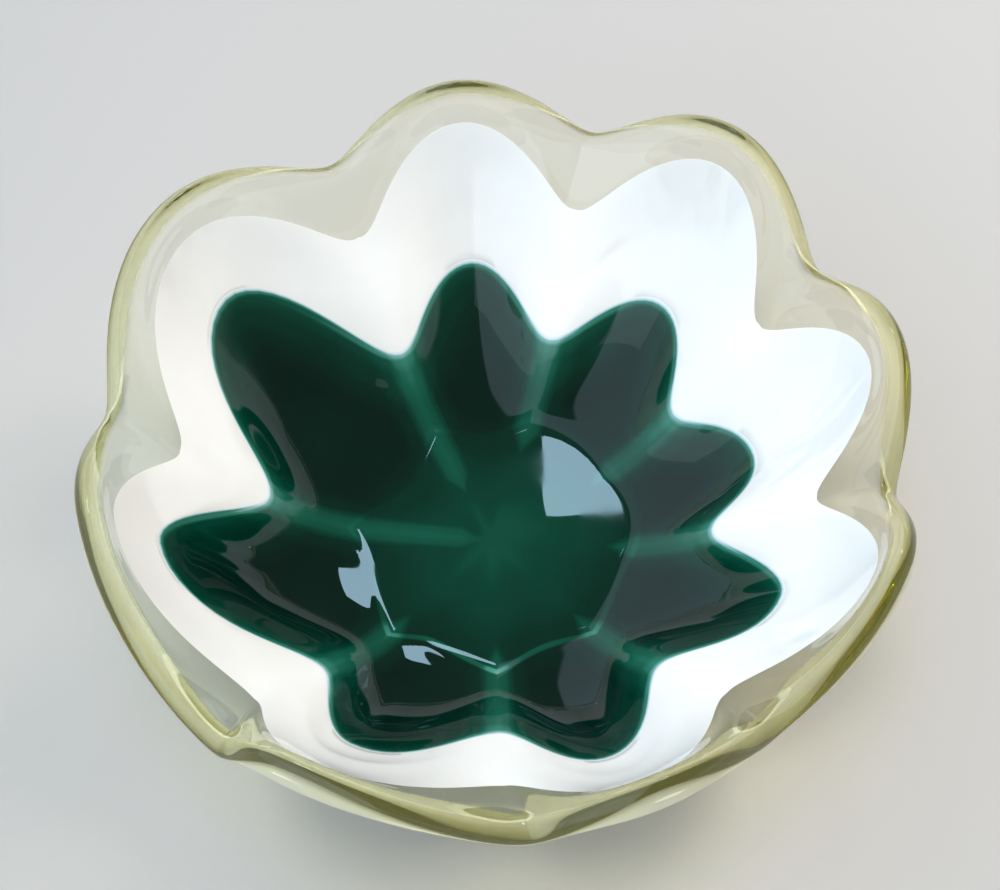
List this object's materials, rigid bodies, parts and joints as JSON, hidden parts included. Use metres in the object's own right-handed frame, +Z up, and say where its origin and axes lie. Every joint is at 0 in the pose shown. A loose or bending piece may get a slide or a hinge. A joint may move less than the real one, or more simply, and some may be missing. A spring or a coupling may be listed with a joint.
{
  "type": "art glass bowl",
  "caption": "Low lobed bowl of cased glass with a wavy rim, a green core, a white opal layer and a thick clear casing on a flat ground foot.",
  "frame": {"origin": "centre of the ground foot, on the surface the bowl stands on", "axes": "+Z up out of the bowl's mouth, -Y towards the near side, where a ridge stands"},
  "size_m": [0.1946, 0.1959, 0.075],
  "materials": {
    "clear_glass": "fire polished, faint yellow-green tint",
    "opal_glass": "glossy opaque white",
    "green_glass": "glossy deep emerald green"
  },
  "bodies": {
    "root": {"clear_casing": "clear_glass", "opal_layer": "opal_glass", "green_core": "green_glass"}
  },
  "joints": []
}
